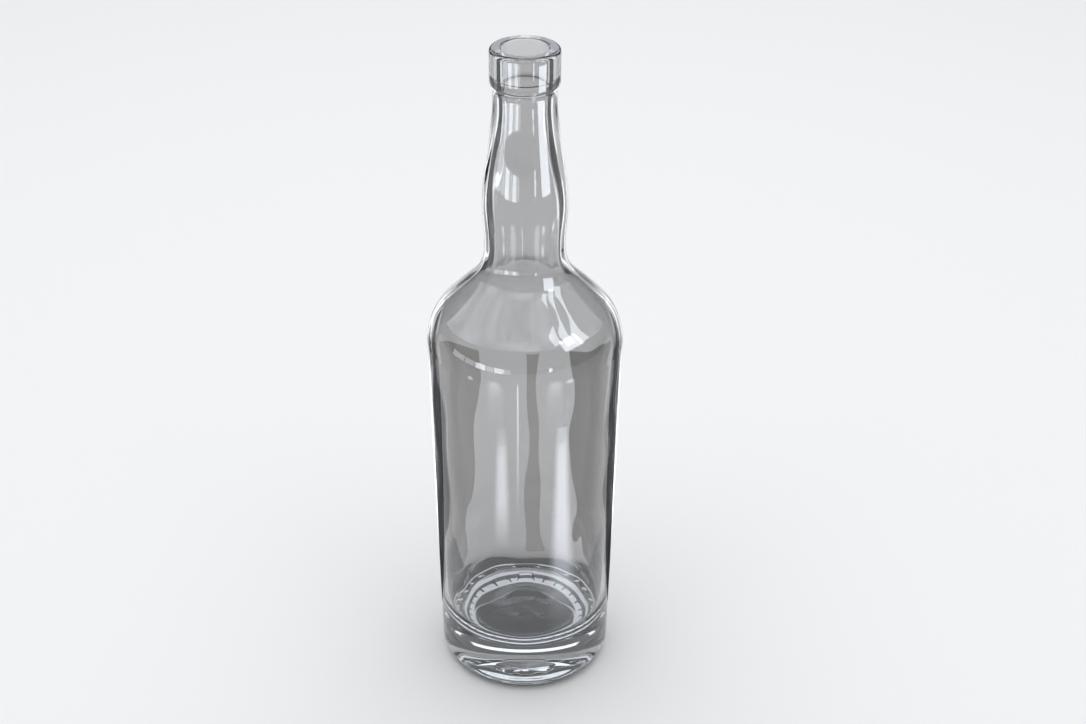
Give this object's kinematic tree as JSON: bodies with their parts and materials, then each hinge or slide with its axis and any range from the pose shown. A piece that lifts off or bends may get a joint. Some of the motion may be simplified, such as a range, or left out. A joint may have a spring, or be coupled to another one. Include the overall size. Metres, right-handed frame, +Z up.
{
  "type": "spirit bottle",
  "caption": "Clear glass spirit bottle with a tall round body, sloping shoulders, a swelled neck, a plain collar for a bar-top cork and a thick base; empty and open.",
  "frame": {"origin": "centre of the ring that the bottle stands on, at the ground", "axes": "+Z up along the bottle's axis towards the mouth; the locating notch in the heel is at +Y, the back"},
  "size_m": [0.0844, 0.0844, 0.2998],
  "materials": {
    "clear_glass": "clear flint glass, fire-polished and glossy"
  },
  "bodies": {
    "root": {"glass_bottle": "clear_glass"}
  },
  "joints": []
}
